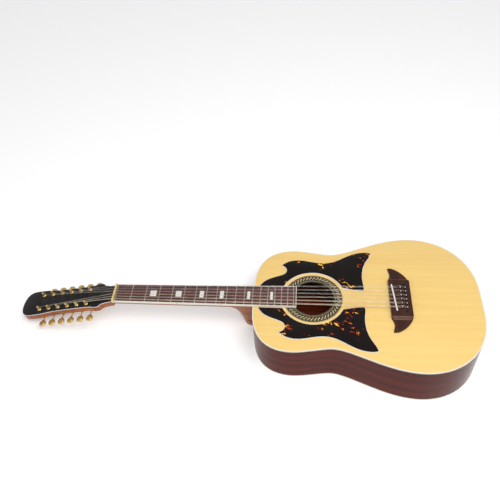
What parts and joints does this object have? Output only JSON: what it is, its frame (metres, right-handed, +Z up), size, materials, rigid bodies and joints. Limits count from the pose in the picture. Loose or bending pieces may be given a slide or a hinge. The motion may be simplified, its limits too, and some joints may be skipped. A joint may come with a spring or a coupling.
{
  "type": "acoustic guitar",
  "caption": "Flat-top acoustic guitar with paired strings, winged pickguards and open-geared tuners whose knobs turn the string posts.",
  "frame": {"origin": "on the surface the guitar lies on, under the middle of its bounding box", "axes": "+X from the headstock to the tail, +Y to the treble side, +Z up out of the soundboard; the guitar lies on its back"},
  "size_m": [1.1068, 0.382, 0.1229],
  "materials": {
    "spruce_top": "gloss lacquer over fine straight grain",
    "bare_spruce": "unfinished",
    "mahogany": "gloss lacquer",
    "neck_mahogany": "gloss lacquer",
    "rosewood": "oiled open grain",
    "maple": "unfinished",
    "rosette_mosaic": "inlaid mosaic under lacquer",
    "cream_plastic": "polished",
    "ivory_plastic": "polished",
    "black_lacquer": "high gloss",
    "tortoiseshell": "high gloss laminate",
    "pearl": "polished pearl",
    "black_plastic": "polished",
    "gold_plate": "gold plated",
    "nickel": "polished",
    "steel": "plain",
    "string_metal": "wound bronze"
  },
  "bodies": {
    "guitar": {"soundboard": "spruce_top", "back_plate": "mahogany", "side_bass": "mahogany", "side_treble": "mahogany", "top_binding": "cream_plastic", "back_binding": "cream_plastic", "neck_block": "mahogany", "tail_block": "mahogany", "soundboard_bracing": "bare_spruce", "back_bracing": "bare_spruce", "bridge_plate": "maple", "rosette": "rosette_mosaic", "pickguard_bass": "tortoiseshell", "pickguard_treble": "tortoiseshell", "bridge": "rosewood", "saddle": "cream_plastic", "neck": "neck_mahogany", "truss_rod": "steel", "fretboard": "rosewood", "nut": "ivory_plastic", "end_pin": "cream_plastic", "headstock_veneer": "black_lacquer", "tuner_plate_bass": "gold_plate", "tuner_plate_treble": "gold_plate", "string_1": "string_metal", "string_2": "string_metal", "string_3": "string_metal", "string_4": "string_metal", "string_5": "string_metal", "string_6": "string_metal", "string_7": "string_metal", "string_8": "string_metal", "string_9": "string_metal", "string_10": "string_metal", "string_11": "string_metal", "string_12": "string_metal"},
    "tuner_post_1_body": {"tuner_post_1": "gold_plate"},
    "tuner_knob_1_body": {"tuner_knob_1": "gold_plate"},
    "tuner_post_2_body": {"tuner_post_2": "gold_plate"},
    "tuner_knob_2_body": {"tuner_knob_2": "gold_plate"},
    "tuner_post_3_body": {"tuner_post_3": "gold_plate"},
    "tuner_knob_3_body": {"tuner_knob_3": "gold_plate"},
    "tuner_post_4_body": {"tuner_post_4": "gold_plate"},
    "tuner_knob_4_body": {"tuner_knob_4": "gold_plate"},
    "tuner_post_5_body": {"tuner_post_5": "gold_plate"},
    "tuner_knob_5_body": {"tuner_knob_5": "gold_plate"},
    "tuner_post_6_body": {"tuner_post_6": "gold_plate"},
    "tuner_knob_6_body": {"tuner_knob_6": "gold_plate"},
    "tuner_post_7_body": {"tuner_post_7": "gold_plate"},
    "tuner_knob_7_body": {"tuner_knob_7": "gold_plate"},
    "tuner_post_8_body": {"tuner_post_8": "gold_plate"},
    "tuner_knob_8_body": {"tuner_knob_8": "gold_plate"},
    "tuner_post_9_body": {"tuner_post_9": "gold_plate"},
    "tuner_knob_9_body": {"tuner_knob_9": "gold_plate"},
    "tuner_post_10_body": {"tuner_post_10": "gold_plate"},
    "tuner_knob_10_body": {"tuner_knob_10": "gold_plate"},
    "tuner_post_11_body": {"tuner_post_11": "gold_plate"},
    "tuner_knob_11_body": {"tuner_knob_11": "gold_plate"},
    "tuner_post_12_body": {"tuner_post_12": "gold_plate"},
    "tuner_knob_12_body": {"tuner_knob_12": "gold_plate"}
  },
  "joints": [
    {"name": "tuner_knob_1_turn", "type": "hinge", "parent": "guitar", "child": "tuner_knob_1_body", "pos_m": [-0.36915, -0.0213, 0.05395], "axis": [0, 1, 0], "continuous": true},
    {"name": "tuner_post_1_turn", "type": "hinge", "parent": "guitar", "child": "tuner_post_1_body", "pos_m": [-0.38053, -0.0213, 0.0728], "axis": [-0.2501, 0, 0.9682], "continuous": true},
    {"name": "tuner_knob_2_turn", "type": "hinge", "parent": "guitar", "child": "tuner_knob_2_body", "pos_m": [-0.39375, -0.0213, 0.04759], "axis": [0, 1, 0], "continuous": true},
    {"name": "tuner_post_2_turn", "type": "hinge", "parent": "guitar", "child": "tuner_post_2_body", "pos_m": [-0.40512, -0.0213, 0.06645], "axis": [-0.2501, 0, 0.9682], "continuous": true},
    {"name": "tuner_knob_3_turn", "type": "hinge", "parent": "guitar", "child": "tuner_knob_3_body", "pos_m": [-0.41834, -0.0213, 0.04124], "axis": [0, 1, 0], "continuous": true},
    {"name": "tuner_post_3_turn", "type": "hinge", "parent": "guitar", "child": "tuner_post_3_body", "pos_m": [-0.42972, -0.0213, 0.06009], "axis": [-0.2501, 0, 0.9682], "continuous": true},
    {"name": "tuner_knob_4_turn", "type": "hinge", "parent": "guitar", "child": "tuner_knob_4_body", "pos_m": [-0.44293, -0.0213, 0.03489], "axis": [0, 1, 0], "continuous": true},
    {"name": "tuner_post_4_turn", "type": "hinge", "parent": "guitar", "child": "tuner_post_4_body", "pos_m": [-0.45431, -0.0213, 0.05374], "axis": [-0.2501, 0, 0.9682], "continuous": true},
    {"name": "tuner_knob_5_turn", "type": "hinge", "parent": "guitar", "child": "tuner_knob_5_body", "pos_m": [-0.46753, -0.0213, 0.02854], "axis": [0, 1, 0], "continuous": true},
    {"name": "tuner_post_5_turn", "type": "hinge", "parent": "guitar", "child": "tuner_post_5_body", "pos_m": [-0.4789, -0.0213, 0.04739], "axis": [-0.2501, 0, 0.9682], "continuous": true},
    {"name": "tuner_knob_6_turn", "type": "hinge", "parent": "guitar", "child": "tuner_knob_6_body", "pos_m": [-0.49212, -0.0213, 0.02218], "axis": [0, 1, 0], "continuous": true},
    {"name": "tuner_post_6_turn", "type": "hinge", "parent": "guitar", "child": "tuner_post_6_body", "pos_m": [-0.5035, -0.0213, 0.04104], "axis": [-0.2501, 0, 0.9682], "continuous": true},
    {"name": "tuner_knob_7_turn", "type": "hinge", "parent": "guitar", "child": "tuner_knob_7_body", "pos_m": [-0.36915, 0.0213, 0.05395], "axis": [0, 1, 0], "continuous": true},
    {"name": "tuner_post_7_turn", "type": "hinge", "parent": "guitar", "child": "tuner_post_7_body", "pos_m": [-0.38053, 0.0213, 0.0728], "axis": [-0.2501, 0, 0.9682], "continuous": true},
    {"name": "tuner_knob_8_turn", "type": "hinge", "parent": "guitar", "child": "tuner_knob_8_body", "pos_m": [-0.39375, 0.0213, 0.04759], "axis": [0, 1, 0], "continuous": true},
    {"name": "tuner_post_8_turn", "type": "hinge", "parent": "guitar", "child": "tuner_post_8_body", "pos_m": [-0.40512, 0.0213, 0.06645], "axis": [-0.2501, 0, 0.9682], "continuous": true},
    {"name": "tuner_knob_9_turn", "type": "hinge", "parent": "guitar", "child": "tuner_knob_9_body", "pos_m": [-0.41834, 0.0213, 0.04124], "axis": [0, 1, 0], "continuous": true},
    {"name": "tuner_post_9_turn", "type": "hinge", "parent": "guitar", "child": "tuner_post_9_body", "pos_m": [-0.42972, 0.0213, 0.06009], "axis": [-0.2501, 0, 0.9682], "continuous": true},
    {"name": "tuner_knob_10_turn", "type": "hinge", "parent": "guitar", "child": "tuner_knob_10_body", "pos_m": [-0.44293, 0.0213, 0.03489], "axis": [0, 1, 0], "continuous": true},
    {"name": "tuner_post_10_turn", "type": "hinge", "parent": "guitar", "child": "tuner_post_10_body", "pos_m": [-0.45431, 0.0213, 0.05374], "axis": [-0.2501, 0, 0.9682], "continuous": true},
    {"name": "tuner_knob_11_turn", "type": "hinge", "parent": "guitar", "child": "tuner_knob_11_body", "pos_m": [-0.46753, 0.0213, 0.02854], "axis": [0, 1, 0], "continuous": true},
    {"name": "tuner_post_11_turn", "type": "hinge", "parent": "guitar", "child": "tuner_post_11_body", "pos_m": [-0.4789, 0.0213, 0.04739], "axis": [-0.2501, 0, 0.9682], "continuous": true},
    {"name": "tuner_knob_12_turn", "type": "hinge", "parent": "guitar", "child": "tuner_knob_12_body", "pos_m": [-0.49212, 0.0213, 0.02218], "axis": [0, 1, 0], "continuous": true},
    {"name": "tuner_post_12_turn", "type": "hinge", "parent": "guitar", "child": "tuner_post_12_body", "pos_m": [-0.5035, 0.0213, 0.04104], "axis": [-0.2501, 0, 0.9682], "continuous": true}
  ],
  "couplings": [
    {"joint": "tuner_post_1_turn", "follows": "tuner_knob_1_turn", "ratio": -0.083333},
    {"joint": "tuner_post_2_turn", "follows": "tuner_knob_2_turn", "ratio": -0.083333},
    {"joint": "tuner_post_3_turn", "follows": "tuner_knob_3_turn", "ratio": -0.083333},
    {"joint": "tuner_post_4_turn", "follows": "tuner_knob_4_turn", "ratio": -0.083333},
    {"joint": "tuner_post_5_turn", "follows": "tuner_knob_5_turn", "ratio": -0.083333},
    {"joint": "tuner_post_6_turn", "follows": "tuner_knob_6_turn", "ratio": -0.083333},
    {"joint": "tuner_post_7_turn", "follows": "tuner_knob_7_turn", "ratio": -0.083333},
    {"joint": "tuner_post_8_turn", "follows": "tuner_knob_8_turn", "ratio": -0.083333},
    {"joint": "tuner_post_9_turn", "follows": "tuner_knob_9_turn", "ratio": -0.083333},
    {"joint": "tuner_post_10_turn", "follows": "tuner_knob_10_turn", "ratio": -0.083333},
    {"joint": "tuner_post_11_turn", "follows": "tuner_knob_11_turn", "ratio": -0.083333},
    {"joint": "tuner_post_12_turn", "follows": "tuner_knob_12_turn", "ratio": -0.083333}
  ]
}
